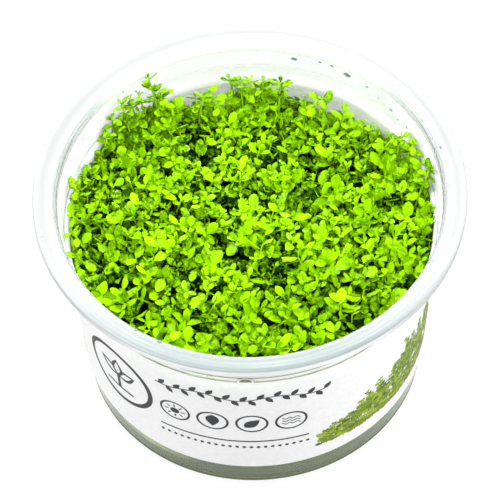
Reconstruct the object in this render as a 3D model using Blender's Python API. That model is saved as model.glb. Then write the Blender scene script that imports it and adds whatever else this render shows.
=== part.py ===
# Potted dwarf baby tears: a clear round tub with a wrap label, a disc of nutrient gel,
# a carpet of small leafy plantlets and a few taller shoots.
# Metres, +Z up, the foot ring stands on z = 0 and the tub's axis is the Z axis. The front is -Y.

import random
from math import atan2, cos, hypot, pi, radians, sin, sqrt, tau

import bmesh
import bpy
from mathutils import Vector

MM = 0.001

# Driving dimensions of the tub
TUB_HEIGHT = 65.0 * MM
RIM_RADIUS = 52.0 * MM
LIP_RADIUS = 47.6 * MM
LIP_DROP = 1.0 * MM
WALL = 0.9 * MM
FLOOR_UNDERSIDE = 0.7 * MM
FLOOR_THICKNESS = 1.0 * MM
FOOT_OUTER = 39.2 * MM
FOOT_INNER = 37.0 * MM
WALL_RADIUS_LOW = 41.5 * MM
WALL_RADIUS_LOW_Z = 3.6 * MM
WALL_RADIUS_STEP = 44.93 * MM
STEP_Z = 52.9 * MM
STEP_HEIGHT = 1.1 * MM
STEP_OUT = 1.2 * MM
COLLAR_RADIUS_TOP = 47.3 * MM
SKIRT_DEPTH = 1.8 * MM
ROUND_STEPS = 48

# Label
LABEL_BOTTOM = 10.2 * MM
LABEL_TOP = 50.8 * MM
LABEL_THICKNESS = 0.2 * MM
LABEL_SEAM_GAP = 0.6 * MM
TAB_RADIUS = 1.9 * MM
TAB_OFFSET = -1.1 * MM

# Gel
GEL_TOP = 14.0 * MM
GEL_MENISCUS = 1.1 * MM

# Carpet of plantlets
CARPET_RADIUS = 42.3 * MM
CARPET_TOP = 54.5 * MM
CARPET_FALL = 7.0 * MM
CROWN_DEPTH = 8.0 * MM
INNER_RING = (5, 16.2 * MM)
OUTER_RING = (11, 34.2 * MM)
CROWN_SIDES = 12
LEAF_LOBE_LENGTH = 2.6 * MM

# Tall shoots
STEM_HALF_WIDTH = 0.4 * MM
SHOOT_ROOM = 1.1 * MM
LEAF_LENGTH = 3.2 * MM
LEAF_WIDTH = 2.1 * MM

# Space kept between touching pieces
GAP = 0.3 * MM

# Each shoot: name, foot on the gel, lean of its tip, height of its tip,
# and how far in degrees its lowest leaf pair is turned from lying along the wall
SHOOTS = [
    ("shoot_back_left", (-21.4 * MM, 33.0 * MM), (-1.4 * MM, 2.1 * MM), 62.4 * MM, 12),
    ("shoot_left", (-28.3 * MM, 27.3 * MM), (-1.0 * MM, 0.9 * MM), 58.4 * MM, -8),
    ("shoot_back", (-2.6 * MM, 39.4 * MM), (-1.4 * MM, 1.0 * MM), 59.0 * MM, 4),
    ("shoot_back_middle", (3.6 * MM, 38.2 * MM), (0.2 * MM, 0.9 * MM), 57.6 * MM, -14),
    ("shoot_back_right", (9.6 * MM, 38.0 * MM), (-1.0 * MM, 1.2 * MM), 58.6 * MM, 9),
    ("shoot_right_back", (19.6 * MM, 33.8 * MM), (-0.4 * MM, 0.6 * MM), 57.6 * MM, -10),
    ("shoot_right", (35.6 * MM, 17.4 * MM), (1.2 * MM, 0.7 * MM), 59.0 * MM, 6),
    ("shoot_right_front", (39.5 * MM, 3.2 * MM), (1.3 * MM, 1.0 * MM), 59.8 * MM, -7),
]


def clear_scene():
    for old in list(bpy.data.objects):
        bpy.data.objects.remove(old, do_unlink=True)


def make_material(name, color, roughness, metallic=0.0, transmission=0.0, ior=1.45):
    material = bpy.data.materials.new(name)
    material.use_nodes = True
    shader = material.node_tree.nodes["Principled BSDF"]
    shader.inputs["Base Color"].default_value = (*color, 1.0)
    shader.inputs["Roughness"].default_value = roughness
    shader.inputs["Metallic"].default_value = metallic
    shader.inputs["Transmission Weight"].default_value = transmission
    shader.inputs["IOR"].default_value = ior
    return material


def make_object(name, bm, material, sharp_angle=35):
    """Turn a finished bmesh into a named, shaded object with one material."""
    bmesh.ops.recalc_face_normals(bm, faces=bm.faces[:])
    mesh = bpy.data.meshes.new(name)
    bm.to_mesh(mesh)
    bm.free()
    mesh.materials.append(material)
    mesh.shade_smooth()
    mesh.set_sharp_from_angle(angle=radians(sharp_angle))
    result = bpy.data.objects.new(name, mesh)
    bpy.context.scene.collection.objects.link(result)
    return result


def spin_outline(outline):
    """Spin (radius, z) points that start and end on the Z axis into a closed body."""
    bm = bmesh.new()
    points = [bm.verts.new((radius, 0.0, z)) for radius, z in outline]
    edges = [bm.edges.new(pair) for pair in zip(points, points[1:])]
    bmesh.ops.spin(
        bm,
        geom=points + edges,
        axis=(0.0, 0.0, 1.0),
        cent=(0.0, 0.0, 0.0),
        steps=ROUND_STEPS,
        angle=tau,
        use_merge=True,
    )
    bmesh.ops.remove_doubles(bm, verts=bm.verts[:], dist=0.000001)
    bmesh.ops.dissolve_degenerate(bm, edges=bm.edges[:], dist=0.0000001)
    return bm


def wall_radius(z):
    """Outer radius of the plain tapered wall below the step."""
    share = (z - WALL_RADIUS_LOW_Z) / (STEP_Z - WALL_RADIUS_LOW_Z)
    return WALL_RADIUS_LOW + share * (WALL_RADIUS_STEP - WALL_RADIUS_LOW)


def tub_outline():
    """Half section of the tub as one loop: inside going up, rim, then outside going down."""
    floor_top = FLOOR_UNDERSIDE + FLOOR_THICKNESS
    lip_z = TUB_HEIGHT - LIP_DROP
    collar_foot = WALL_RADIUS_STEP + STEP_OUT
    bend = 3.9 * MM
    low_inside = wall_radius(floor_top + bend) - WALL
    inside = [(0.0, floor_top)]
    for degrees in (0, 30, 60, 90):
        turn = radians(degrees)
        inside.append((low_inside - bend + bend * sin(turn), floor_top + bend - bend * cos(turn)))
    inside += [
        (WALL_RADIUS_STEP - WALL, STEP_Z),
        (collar_foot - WALL, STEP_Z + STEP_HEIGHT),
        (COLLAR_RADIUS_TOP - WALL, lip_z - 1.1 * MM),
        (COLLAR_RADIUS_TOP - WALL * 0.6, lip_z - 0.35 * MM),
        (LIP_RADIUS, lip_z),
    ]
    rim = [
        (RIM_RADIUS - 2.1 * MM, lip_z + 0.1 * MM),
        (RIM_RADIUS - 1.6 * MM, TUB_HEIGHT - 0.15 * MM),
        (RIM_RADIUS - 1.3 * MM, TUB_HEIGHT),
        (RIM_RADIUS - 0.35 * MM, TUB_HEIGHT),
        (RIM_RADIUS, TUB_HEIGHT - 0.3 * MM),
        (RIM_RADIUS, TUB_HEIGHT - SKIRT_DEPTH),
        (RIM_RADIUS - 0.8 * MM, TUB_HEIGHT - SKIRT_DEPTH),
        (RIM_RADIUS - 0.8 * MM, TUB_HEIGHT - 0.9 * MM),
        (RIM_RADIUS - 1.2 * MM, TUB_HEIGHT - 0.95 * MM),
        (RIM_RADIUS - 1.7 * MM, lip_z - 0.85 * MM),
    ]
    outside = [
        (COLLAR_RADIUS_TOP, lip_z - 1.05 * MM),
        (collar_foot, STEP_Z + STEP_HEIGHT),
        (WALL_RADIUS_STEP, STEP_Z),
        (WALL_RADIUS_LOW, WALL_RADIUS_LOW_Z),
    ]
    corner = WALL_RADIUS_LOW_Z
    width = WALL_RADIUS_LOW - FOOT_OUTER
    for degrees in (30, 60, 90):
        turn = radians(degrees)
        outside.append((FOOT_OUTER + width * cos(turn), corner - corner * sin(turn)))
    outside += [
        (FOOT_INNER, 0.0),
        (FOOT_INNER - 0.6 * MM, FLOOR_UNDERSIDE),
        (0.0, FLOOR_UNDERSIDE),
    ]
    return inside + rim + outside


def make_cup():
    plastic = make_material("clear_plastic", (0.90, 0.95, 0.94), 0.12, transmission=0.9, ior=1.49)
    return make_object("cup", spin_outline(tub_outline()), plastic)


def label_columns():
    """Angles of the label's upright edges, from one side of the seam round the front to the other."""
    seam = LABEL_SEAM_GAP / 2 / WALL_RADIUS_STEP
    tab_turn = TAB_OFFSET / wall_radius(LABEL_TOP)
    columns = [seam]
    columns += [step * tau / ROUND_STEPS for step in range(1, ROUND_STEPS)]
    columns += [tau - seam]
    half_tab = TAB_RADIUS / wall_radius(LABEL_TOP)
    for degrees in (0, 30, 60, 90, 120, 150, 180):
        columns.append(pi + tab_turn - half_tab * cos(radians(degrees)))
    columns = sorted(columns)
    return [turn for turn, after in zip(columns, columns[1:] + [99.0]) if after - turn > 0.0005], pi + tab_turn


def make_label():
    """A thin wrap that follows the tapered wall, with its seam at the back."""
    film = make_material("label_film", (0.93, 0.93, 0.92), 0.35)
    bm = bmesh.new()
    columns, tab_at = label_columns()
    rows = []
    for turn in columns:
        across = (turn - tab_at) * wall_radius(LABEL_TOP)
        rise = sqrt(max(0.0, TAB_RADIUS ** 2 - across ** 2))
        # The angle runs from the back, so sine gives X and cosine gives Y.
        direction = Vector((sin(turn), cos(turn), 0.0))
        row = []
        for z in (LABEL_BOTTOM, LABEL_TOP, LABEL_TOP + rise):
            inner = wall_radius(z) + GAP
            row.append(bm.verts.new(direction * inner + Vector((0.0, 0.0, z))))
            row.append(bm.verts.new(direction * (inner + LABEL_THICKNESS) + Vector((0.0, 0.0, z))))
        rows.append(row)
    loop = [0, 2, 4, 5, 3, 1]
    for row, after in zip(rows, rows[1:]):
        for first, second in zip(loop, loop[1:] + loop[:1]):
            corners = [row[first], after[first], after[second], row[second]]
            bm.faces.new(corners)
    bm.faces.new([rows[0][index] for index in loop])
    bm.faces.new([rows[-1][index] for index in reversed(loop)])
    bmesh.ops.remove_doubles(bm, verts=bm.verts[:], dist=0.000001)
    return make_object("label", bm, film)


def make_gel():
    """The gel fills the floor's bend and climbs a little where it wets the wall."""
    gel = make_material("gel", (0.52, 0.56, 0.42), 0.2, transmission=0.6, ior=1.34)
    floor_top = FLOOR_UNDERSIDE + FLOOR_THICKNESS + GAP + 0.1 * MM
    low_inside = wall_radius(5.6 * MM) - WALL - GAP
    edge_z = GEL_TOP + GEL_MENISCUS
    outline = [
        (0.0, floor_top),
        (low_inside - 4.2 * MM, floor_top),
        (low_inside - 1.9 * MM, floor_top + 0.6 * MM),
        (low_inside - 0.1 * MM, 5.9 * MM),
        (wall_radius(edge_z) - WALL - GAP, edge_z),
        (wall_radius(edge_z) - WALL - GAP - 1.7 * MM, GEL_TOP + 0.15 * MM),
        (0.0, GEL_TOP),
    ]
    return make_object("growth_gel", spin_outline(outline), gel)


def carpet_height(x, y):
    """Height of the carpet's leaf tips: a low dome with a few broad lumps."""
    out = hypot(x, y) / CARPET_RADIUS
    lumps = 0.8 * MM * sin(x / (5.1 * MM) + 0.7) * cos(y / (6.3 * MM) - 0.4)
    return CARPET_TOP - CARPET_FALL * out ** 2.4 + lumps


def plantlet_places(rng):
    """Centres of the clumps: one in the middle and two rings around it, a little irregular."""
    places = [("plantlet_centre", Vector((0.4 * MM, -0.6 * MM)))]
    for label, (count, radius), first in (("inner", INNER_RING, 0.3), ("outer", OUTER_RING, 0.1)):
        for index in range(count):
            turn = first + tau * index / count + rng.uniform(-0.05, 0.05)
            reach = radius + rng.uniform(-0.8, 0.8) * MM
            places.append((f"plantlet_{label}_{index + 1}", Vector((reach * cos(turn), reach * sin(turn)))))
    return places


def cell_reach(centre, turn, neighbours):
    """How far a clump spreads one way before it meets its neighbours, a shoot or the wall."""
    heading = Vector((cos(turn), sin(turn)))
    along = centre.dot(heading)
    reach = -along + sqrt(along ** 2 + CARPET_RADIUS ** 2 - centre.length_squared)
    for other in neighbours:
        offset = other - centre
        facing = heading.dot(offset.normalized())
        if facing > 0.05:
            reach = min(reach, (offset.length / 2 - GAP * 0.75) / facing)
    for _, foot, lean, _, _ in SHOOTS:
        offset = Vector(foot) + Vector(lean) / 2 - centre
        facing = heading.dot(offset.normalized())
        if facing > 0.05:
            reach = min(reach, (offset.length - SHOOT_ROOM) / facing)
    return reach


def raise_leaf(bm, face, rng, length):
    """Draw one face of a crown up into a blunt leaf lobe that leans a little."""
    centre = face.calc_center_median()
    growth = (face.normal * 0.4 + Vector((0.0, 0.0, 0.6))).normalized()
    result = bmesh.ops.extrude_discrete_faces(bm, faces=[face])
    cap = result["faces"][0]
    lean = Vector((rng.uniform(-1, 1), rng.uniform(-1, 1), 0.0)) * length * 0.1
    pinch = rng.uniform(0.28, 0.5)
    for vert in cap.verts:
        vert.co = centre + (vert.co - centre) * pinch + growth * length + lean


def make_plantlet(name, centre, neighbours, leaf, rng):
    """One clump: a bundle of stems that widens into a crown covered with leaf lobes."""
    bm = bmesh.new()
    foot_z = GEL_TOP + GEL_MENISCUS + GAP
    turns = [tau * index / CROWN_SIDES + rng.uniform(-0.06, 0.06) for index in range(CROWN_SIDES)]
    reaches = [cell_reach(centre, turn, neighbours) for turn in turns]
    top = carpet_height(centre.x, centre.y) - LEAF_LOBE_LENGTH
    levels = [
        (0.36, lambda x, y: foot_z),
        (0.50, lambda x, y: foot_z + (top - foot_z) * 0.55),
        (0.97, lambda x, y: carpet_height(x, y) - CROWN_DEPTH),
        (1.00, lambda x, y: carpet_height(x, y) - LEAF_LOBE_LENGTH * 1.7),
        (0.66, lambda x, y: carpet_height(x, y) - LEAF_LOBE_LENGTH * 0.95),
    ]
    rings = []
    for share, height in levels:
        ring = []
        for turn, reach in zip(turns, reaches):
            spot = centre + Vector((cos(turn), sin(turn))) * reach * share
            ring.append(bm.verts.new((spot.x, spot.y, height(spot.x, spot.y))))
        rings.append(ring)
    bm.faces.new(list(reversed(rings[0])))
    leafy = []
    for number, (ring, above) in enumerate(zip(rings, rings[1:])):
        for index in range(CROWN_SIDES):
            after = (index + 1) % CROWN_SIDES
            face = bm.faces.new([ring[index], ring[after], above[after], above[index]])
            if number == len(rings) - 2:
                leafy.append(face)
    middle = []
    for index in range(0, CROWN_SIDES, 2):
        spot = centre + Vector((cos(turns[index]), sin(turns[index]))) * reaches[index] * 0.3
        height = carpet_height(spot.x, spot.y) - LEAF_LOBE_LENGTH * 0.8
        middle.append(bm.verts.new((spot.x, spot.y, height)))
    count = len(middle)
    for index in range(count):
        after = (index + 1) % count
        edge = rings[-1]
        leafy.append(
            bm.faces.new(
                [edge[2 * index], edge[2 * index + 1], edge[2 * after], middle[after], middle[index]]
            )
        )
    leafy.append(bm.faces.new(middle))
    bm.normal_update()
    for face in leafy:
        raise_leaf(bm, face, rng, LEAF_LOBE_LENGTH * rng.uniform(0.6, 0.95))
    return make_object(name, bm, leaf, sharp_angle=20)


def draw_leaf(bm, face, outward):
    """Draw one side of a stem node out into a flat leaf: widest half way, narrow at the tip."""
    across = Vector((0.0, 0.0, 1.0)).cross(outward)
    stages = [
        (LEAF_LENGTH * 0.5, LEAF_WIDTH / 2, 0.35 * MM, 0.7 * MM),
        (LEAF_LENGTH, LEAF_WIDTH * 0.16, 0.2 * MM, 1.0 * MM),
    ]
    root = face.calc_center_median()
    for distance, half_width, half_height, lift in stages:
        result = bmesh.ops.extrude_discrete_faces(bm, faces=[face])
        face = result["faces"][0]
        middle = face.calc_center_median()
        for vert in face.verts:
            side = 1.0 if (vert.co - middle).dot(across) > 0.0 else -1.0
            level = 1.0 if vert.co.z > middle.z else -1.0
            vert.co = root + outward * distance + across * side * half_width
            vert.co.z = root.z + lift + level * half_height


def make_shoot(name, foot, lean, tip_z, swing, leaf):
    """One long shoot: a thin square stem with crossed pairs of leaves below its tip."""
    bm = bmesh.new()
    foot_z = GEL_TOP + GEL_MENISCUS + GAP
    node_heights = [tip_z - 7.2 * MM, tip_z - 4.2 * MM, tip_z - 1.6 * MM]
    node_half = 0.3 * MM
    levels = [foot_z]
    for height in node_heights:
        levels += [height - node_half, height + node_half]
    levels.append(node_heights[-1] + node_half + 0.5 * MM)
    base_turn = atan2(foot[1], foot[0]) + radians(swing)
    rings = []
    for z in levels:
        share = (z - foot_z) / (tip_z - foot_z)
        centre = Vector(foot) + Vector(lean) * share ** 2
        ring = []
        for quarter in range(4):
            angle = base_turn + pi / 4 + quarter * pi / 2
            spot = centre + Vector((cos(angle), sin(angle))) * STEM_HALF_WIDTH * sqrt(2)
            ring.append(bm.verts.new((spot.x, spot.y, z)))
        rings.append(ring)
    bm.faces.new(list(reversed(rings[0])))
    bm.faces.new(rings[-1])
    leafy = []
    for number, (ring, above) in enumerate(zip(rings, rings[1:])):
        node = number // 2 if number % 2 == 1 else None
        for quarter in range(4):
            after = (quarter + 1) % 4
            face = bm.faces.new([ring[quarter], ring[after], above[after], above[quarter]])
            if node is not None and node < len(node_heights) and quarter % 2 == node % 2:
                angle = base_turn + pi / 2 + quarter * pi / 2
                leafy.append((face, Vector((cos(angle), sin(angle), 0.0))))
    for face, outward in leafy:
        draw_leaf(bm, face, outward)
    return make_object(name, bm, leaf, sharp_angle=20)


def make_plants():
    leaf = make_material("leaf", (0.35, 0.72, 0.02), 0.45)
    rng = random.Random(11)
    places = plantlet_places(rng)
    for name, centre in places:
        neighbours = [other for other_name, other in places if other_name != name]
        make_plantlet(name, centre, neighbours, leaf, rng)
    for name, foot, lean, tip_z, swing in SHOOTS:
        make_shoot(name, foot, lean, tip_z, swing, leaf)


def main():
    clear_scene()
    make_cup()
    make_label()
    make_gel()
    make_plants()


main()
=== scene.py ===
import math
import random

import bpy
import numpy as np
from mathutils import Matrix, Vector, noise
from mathutils.geometry import delaunay_2d_cdt


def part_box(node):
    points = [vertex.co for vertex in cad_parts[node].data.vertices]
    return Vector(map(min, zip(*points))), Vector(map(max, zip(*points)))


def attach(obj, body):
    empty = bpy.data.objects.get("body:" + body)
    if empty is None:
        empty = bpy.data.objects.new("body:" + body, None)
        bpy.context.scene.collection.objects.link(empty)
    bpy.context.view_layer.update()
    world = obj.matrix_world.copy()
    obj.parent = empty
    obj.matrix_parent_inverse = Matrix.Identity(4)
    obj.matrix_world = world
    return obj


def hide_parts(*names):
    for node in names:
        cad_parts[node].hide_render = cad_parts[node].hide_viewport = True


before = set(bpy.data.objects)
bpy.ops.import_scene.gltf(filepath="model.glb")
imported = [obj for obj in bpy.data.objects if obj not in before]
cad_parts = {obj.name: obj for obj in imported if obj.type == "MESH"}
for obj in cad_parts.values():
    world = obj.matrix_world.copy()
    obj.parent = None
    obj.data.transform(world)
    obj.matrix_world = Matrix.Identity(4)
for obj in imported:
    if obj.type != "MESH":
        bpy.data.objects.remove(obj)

scene = bpy.context.scene
mm = 0.001
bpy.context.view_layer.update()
print("frame loaded:", len(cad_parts), "nodes")


# Small helpers for meshes and materials

def addPiece(name, points, faces, materials, slots=None, sharpAngle=40, body="root"):
    mesh = bpy.data.meshes.new(name)
    mesh.from_pydata([tuple(p) for p in points], [], [tuple(f) for f in faces])
    for mat in materials:
        mesh.materials.append(mat)
    if slots is not None:
        mesh.polygons.foreach_set("material_index", slots)
    mesh.shade_smooth()
    mesh.set_sharp_from_angle(angle=math.radians(sharpAngle))
    piece = bpy.data.objects.new(name, mesh)
    scene.collection.objects.link(piece)
    if body:
        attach(piece, body)
    return piece


# A node tree with short calls for its nodes
class Nodes:
    def __init__(self, tree):
        self.tree = tree

    def plug(self, target, value):
        if isinstance(value, bpy.types.NodeSocket):
            self.tree.links.new(value, target)
        else:
            target.default_value = value

    def add(self, kind, settings=None, **sockets):
        node = self.tree.nodes.new(kind)
        for key, value in (settings or {}).items():
            setattr(node, key, value)
        for socket, value in sockets.items():
            self.plug(node.inputs[socket.replace("_", " ")], value)
        return node

    def math(self, operation, a, b=0.5, clamp=False):
        node = self.add("ShaderNodeMath", {"operation": operation, "use_clamp": clamp})
        self.plug(node.inputs[0], a)
        self.plug(node.inputs[1], b)
        return node.outputs[0]

    def times(self, product, *factors):
        for factor in factors:
            product = self.math("MULTIPLY", product, factor)
        return product

    def plus(self, a, b, clamp=False):
        return self.math("ADD", a, b, clamp)

    def minus(self, a, b, clamp=False):
        return self.math("SUBTRACT", a, b, clamp)

    def most(self, a, b):
        return self.math("MAXIMUM", a, b)

    def ranged(self, value, low, high, toLow=0.0, toHigh=1.0):
        node = self.add("ShaderNodeMapRange", Value=value, From_Min=low, From_Max=high, To_Min=toLow,
                        To_Max=toHigh)
        return node.outputs["Result"]

    # 1 at a place in millimetres, 0 from the given distance on
    def near(self, value, place, distance):
        off = self.math("ABSOLUTE", self.minus(value, place * mm))
        return self.ranged(off, distance * 0.5 * mm, distance * mm, 1.0, 0.0)

    def split(self, vector):
        return self.add("ShaderNodeSeparateXYZ", Vector=vector).outputs

    def ramp(self, value, stops):
        ramp = self.add("ShaderNodeValToRGB", Fac=value)
        elements = ramp.color_ramp.elements
        while len(elements) < len(stops):
            elements.new(0.5)
        for element, (place, colour) in zip(elements, stops):
            element.position = place
            element.color = (*colour, 1)
        return ramp.outputs["Color"]

    # Colours are plain tuples or sockets
    def mix(self, share, colour, other):
        node = self.add("ShaderNodeMixRGB")
        for target, value in zip(node.inputs, (share, colour, other)):
            self.plug(target, (*value, 1) if isinstance(value, tuple) else value)
        return node.outputs[0]


# A material: its nodes with the shader, and a point's place on the object
class Finish(Nodes):
    def __init__(self, name, **values):
        self.mat = bpy.data.materials.new(name)
        self.mat.use_nodes = True
        super().__init__(self.mat.node_tree)
        self.shader = self.tree.nodes["Principled BSDF"]
        self.place = self.add("ShaderNodeTexCoord").outputs["Object"]
        self.feed(**values)

    def feed(self, **values):
        for socket, value in values.items():
            self.plug(self.shader.inputs[socket.replace("_", " ")], value)

    def noise(self, scale, detail, roughness=0.5):
        node = self.add("ShaderNodeTexNoise", Vector=self.place, Scale=scale, Detail=detail,
                        Roughness=roughness)
        return node.outputs["Fac"]

    def bump(self, height, strength, distance):
        node = self.add("ShaderNodeBump", Strength=strength, Distance=distance, Height=height)
        self.feed(Normal=node.outputs["Normal"])

    # Lets a share of the light through a thin sheet
    def letThrough(self, colour, share):
        glow = self.add("ShaderNodeBsdfTranslucent", Color=colour)
        both = self.add("ShaderNodeMixShader", Fac=share)
        self.plug(both.inputs[1], self.shader.outputs[0])
        self.plug(both.inputs[2], glow.outputs[0])
        self.plug(self.tree.nodes["Material Output"].inputs["Surface"], both.outputs[0])


# The value at a share of the way
def between(low, high, share):
    return low + (high - low) * share


def lighter(colour, share):
    return tuple(min(1, c * share) for c in colour)


# A circle drawn as a polygon
def ringOf(u, v, radius, count=40):
    turns = [math.tau * k / count for k in range(count)]
    return [(u + radius * math.cos(turn), v + radius * math.sin(turn)) for turn in turns]


def turned(degrees):
    return math.cos(math.radians(degrees)), math.sin(math.radians(degrees))


# Faces of a closed tube of rings
def tubeFaces(rings, sides):
    faces = []
    for i in range(rings - 1):
        for k in range(sides):
            n = (k + 1) % sides
            faces.append((i * sides + k, i * sides + n, (i + 1) * sides + n, (i + 1) * sides + k))
    return faces + [tuple(range(sides))[::-1], tuple(range((rings - 1) * sides, rings * sides))]


# A point from a radius and a height in mm and a turn in radians
def polar(r, turn, z):
    return (r * mm * math.cos(turn), r * mm * math.sin(turn), z * mm)


# An outline from corners of radius, height and rounding, each drawn as a short curve
def roundedOutline(corners, steps=5):
    points = []
    for i, (r, z, rounding) in enumerate(corners):
        here = Vector((r, z))
        if not rounding or i in (0, len(corners) - 1):
            points.append(here)
            continue
        before = Vector(corners[i - 1][:2]) - here
        after = Vector(corners[i + 1][:2]) - here
        start = here + before.normalized() * min(rounding, before.length * 0.48)
        end = here + after.normalized() * min(rounding, after.length * 0.48)
        for k in range(steps + 1):
            t = k / steps
            points.append(start * (1 - t) ** 2 + here * 2 * t * (1 - t) + end * t ** 2)
    return points


# Spins an outline that starts and ends on the axis
def turnedPiece(name, outline, around, materials, sharpAngle=40):
    points = []
    rings = []
    for r, z in outline:
        spots = around if r > 1e-6 else 1
        rings.append(list(range(len(points), len(points) + spots)))
        points += [polar(r, math.tau * k / around, z) for k in range(spots)]
    faces = []
    for low, high in zip(rings, rings[1:]):
        for k in range(around):
            n = (k + 1) % around
            ring = [low[k % len(low)], low[n % len(low)], high[n % len(high)], high[k % len(high)]]
            faces.append(list(dict.fromkeys(ring))[::-1])
    return addPiece(name, points, faces, materials, sharpAngle=sharpAngle)


# Camera, light and floor

cameraLook = {
    "distance": 900,  # mm from the middle of the opening
    "elevation": 53.13,  # degrees above the floor
    "openingHeight": 64,  # mm, the flange's top
    "aim": (-0.43, 0, 41.52),  # mm, the point in the middle of the picture
    "roll": -2.14,  # degrees, the photo is turned a little
    "lens": 271.3,
}


def addCamera(look):
    data = bpy.data.cameras.new("camera")
    data.lens = look["lens"]
    data.sensor_width = 36
    data.clip_start = 0.01
    camera = bpy.data.objects.new("camera", data)
    rise = math.radians(look["elevation"])
    place = Vector((0, -math.cos(rise), math.sin(rise))) * look["distance"]
    place.z += look["openingHeight"]
    view = Vector(look["aim"]) - place
    turn = view.to_track_quat("-Z", "Y").to_matrix() @ Matrix.Rotation(math.radians(look["roll"]), 3, "Z")
    camera.matrix_world = Matrix.Translation(place * mm) @ turn.to_4x4()
    scene.collection.objects.link(camera)
    scene.camera = camera


studio = {
    "skyTop": 1.2,  # brightness straight above
    "skySide": 1.35,  # brightness at the horizon
    "boxes": [  # name, place in m, size in m, power in W
        ("softboxTop", (-0.25, 0.32, 1.30), 0.35, 15.5),
        ("softboxFront", (0.45, -0.75, 1.0), 0.7, 8.0),
        ("softboxRear", (0.0, 1.3, 0.6), 1.0, 18.0),
        ("softboxLeft", (-1.3, 0.1, 0.5), 0.8, 10.0),
        ("softboxRight", (1.3, 0.1, 0.5), 0.8, 10.0),
    ],
    "boxAim": (0, 0, 0.04),
    "floorShade": 0.10,
    "floorGlow": 0.865,  # the floor is a light table, so the shadow stays faint
    "floorSide": 3.0,  # m from its middle
}


def addStudio(look):
    world = bpy.data.worlds.new("studio")
    scene.world = world
    world.use_nodes = True
    sky = Nodes(world.node_tree)
    background = sky.tree.nodes["Background"]
    up = sky.split(sky.add("ShaderNodeTexCoord").outputs["Generated"])["Z"]
    sky.plug(background.inputs["Strength"], sky.ranged(up, -0.1, 0.9, look["skySide"], look["skyTop"]))
    background.inputs["Color"].default_value = (1, 1, 1, 1)
    for name, place, size, power in look["boxes"]:
        light = bpy.data.lights.new(name, "AREA")
        light.shape = "DISK"
        light.size = size
        light.energy = power
        lamp = bpy.data.objects.new(name, light)
        aim = Vector(look["boxAim"]) - Vector(place)
        lamp.matrix_world = Matrix.Translation(place) @ aim.to_track_quat("-Z", "Y").to_matrix().to_4x4()
        scene.collection.objects.link(lamp)
    scene.view_settings.view_transform = "Standard"


def addFloor(look):
    finish = Finish("paleFloor", Roughness=0.75, Specular_IOR_Level=0.2, Emission_Color=(1, 1, 1, 1),
                    Emission_Strength=look["floorGlow"])
    shades = [(0.3, (look["floorShade"],) * 3), (0.7, (look["floorShade"] * 1.02,) * 3)]
    finish.feed(Base_Color=finish.ramp(finish.noise(9.0, 3.0), shades))
    side = look["floorSide"]
    corners = [(-side, -side, 0), (side, -side, 0), (side, side, 0), (-side, side, 0)]
    floor = addPiece("floor", corners, [(0, 1, 2, 3)], [finish.mat], body=None)


addCamera(cameraLook)
addStudio(studio)
addFloor(studio)
print("camera, light and floor ready")


# The tub

tub = {
    "floorTop": 1.7,  # mm from here on
    "floorUnder": 0.7,
    "footOuter": 39.2,
    "footInner": 37.0,
    "cornerTop": 2.2,  # where the wall turns in to the foot
    "wallLow": (41.5, 3.6),  # outer radius and height where the straight wall starts
    "wallHigh": (44.93, 52.9),  # and where the step is
    "stepTop": (46.13, 54.0),
    "collarTop": (47.3, 62.95),
    "wall": 0.9,
    "lip": 64.0,
    "rim": 52.0,
    "rimTop": 65.0,
    "around": 192,
    "collarFlare": 0.13,  # how far the collar leans out for each mm up
}


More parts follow.
